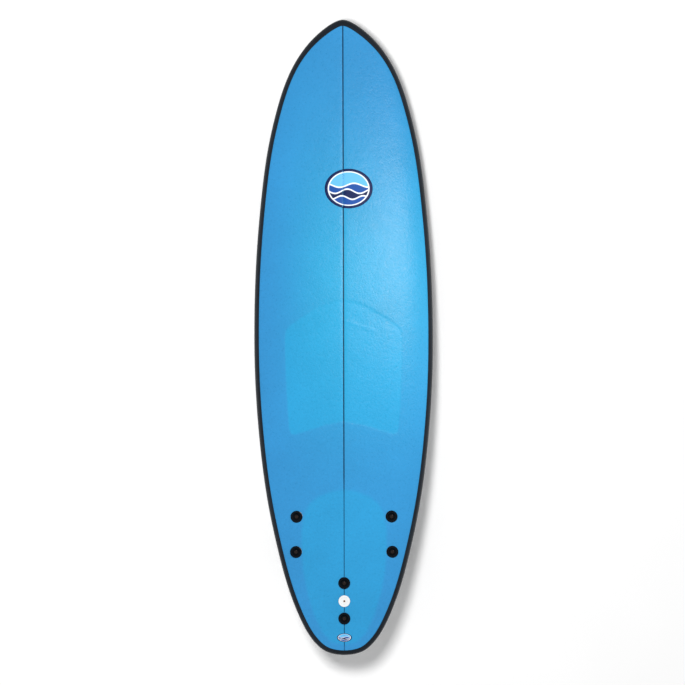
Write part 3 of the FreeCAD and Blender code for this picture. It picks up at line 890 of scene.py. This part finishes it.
hull = make_sheet(
    "hull_sheet", HULL_ROWS, HULL_COLUMNS, hull_height, HULL_SKIN, None,
    SLICK, "hull_skin",
)
holes = []
for point, direction in SCREWS.values():
    profile = ((TUBE_RADIUS, -HULL_CUT), (TUBE_RADIUS, HULL_CUT))
    holes.append((on_surface(point, direction, hull_height), direction, profile))
cut_round(hull, holes)
sharpen(hull)

make_badge("badge_front_print", BADGE_X, BADGE_Y, BADGE_LONG, BADGE_SHORT, "badge_front")
make_badge("badge_tail_print", 0.0, TAIL_BADGE_Y, TAIL_BADGE_LONG, TAIL_BADGE_SHORT, "badge_tail")

# CAD nodes that keep their shape: by whole name, or by the first word of it
FINISHES = {
    "core": bead_foam_material(),
    "stringer": plywood_material(),
    "sleeve": moulded_material("sleeve_plastic", srgb(2, 7, 14), srgb(10, 17, 27), 0.4, 0.55, shine=0.12),
    "washer": moulded_material("washer_plastic", srgb(4, 7, 13), srgb(14, 18, 26), 0.45, 0.6, shine=0.12),
    "screw": metal_material("screw_steel", srgb(66, 58, 57), srgb(38, 34, 33), 0.2),
    "insert": metal_material("insert_brass", srgb(214, 178, 104), srgb(140, 106, 52), 0.3),
    "fin": moulded_material("fin_plastic", srgb(22, 23, 27), srgb(46, 48, 54), 0.26, 0.42, 500.0, 0.15),
    "leash": plug_material(),
    "leash_plug_cup": moulded_material("cup_plastic", srgb(206, 158, 128), srgb(180, 134, 106), 0.45, 0.6),
}
for name, node in nodes.items():
    finish = FINISHES.get(name, FINISHES.get(name.split("_")[0]))
    if finish is not None:
        for place in range(len(node.data.materials)):
            node.data.materials[place] = finish
        if not node.data.materials:
            node.data.materials.append(finish)


# ---- Floor, lights and camera
def make_floor():
    mesh = bpy.data.meshes.new("floor")
    corners = [(x * FLOOR_HALF, y * FLOOR_HALF, 0) for x, y in ((-1, -1), (1, -1), (1, 1), (-1, 1))]
    mesh.from_pydata(corners, [], [(0, 1, 2, 3)])
    floor = bpy.data.objects.new("floor", mesh)
    floor.location = (0, 0, FLOOR_Z)
    bpy.context.scene.collection.objects.link(floor)
    mesh.materials.append(floor_material())


def make_area(name, place, target, size, glow, matt=True, gloss=True, only_board=False):
    """A softbox. glow is what a white sheet at the target, facing it, would shine with."""
    data = bpy.data.lights.new(name, "AREA")
    data.shape = "RECTANGLE"
    data.size, data.size_y = size
    reach = Vector(target) - Vector(place)
    data.energy = glow * math.pi**2 * reach.length_squared
    light = bpy.data.objects.new(name, data)
    light.location = place
    light.rotation_euler = reach.to_track_quat("-Z", "Y").to_euler()
    light.visible_camera = False
    light.visible_diffuse = matt
    light.visible_glossy = gloss
    if only_board:
        light.light_linking.receiver_collection = board_pieces
    bpy.context.scene.collection.objects.link(light)


board_pieces = bpy.data.collections.new("board_pieces")
for piece in list(bpy.context.scene.objects):
    if piece.type == "MESH":
        board_pieces.objects.link(piece)
make_floor()
make_area("key", (-0.82, 0.66, 5.5), (0, 0, 0), size=(1.1, 1.1), glow=0.73, gloss=False)
make_area(
    "side", (0.78, 0.20, 0.75), (0.05, 0.17, 0.08), size=(0.5, 0.6), glow=0.42, gloss=False, only_board=True
)
make_area(
    "sheen", (0.32, 0.43, 1.19), (0.155, 0.26, 0.09), size=(0.16, 0.2), glow=0.45, matt=False, only_board=True
)

world = bpy.data.worlds.new("studio")
world.use_nodes = True
world.node_tree.nodes["Background"].inputs["Color"].default_value = (1, 1, 1, 1)
world.node_tree.nodes["Background"].inputs["Strength"].default_value = SKY_STRENGTH
bpy.context.scene.world = world
bpy.context.scene.view_settings.view_transform = "Standard"

lens = bpy.data.cameras.new("camera")
lens.lens = CAMERA_LENS
lens.sensor_width = SENSOR
camera = bpy.data.objects.new("camera", lens)
camera_height = VIEW_WIDTH / 2 / math.tan(math.atan(SENSOR / 2 / CAMERA_LENS)) + VIEW_LEVEL
camera.location = (VIEW_CENTRE[0], VIEW_CENTRE[1], camera_height)
camera.rotation_euler = (0, 0, -CAMERA_ROLL)
bpy.context.scene.collection.objects.link(camera)
bpy.context.scene.camera = camera
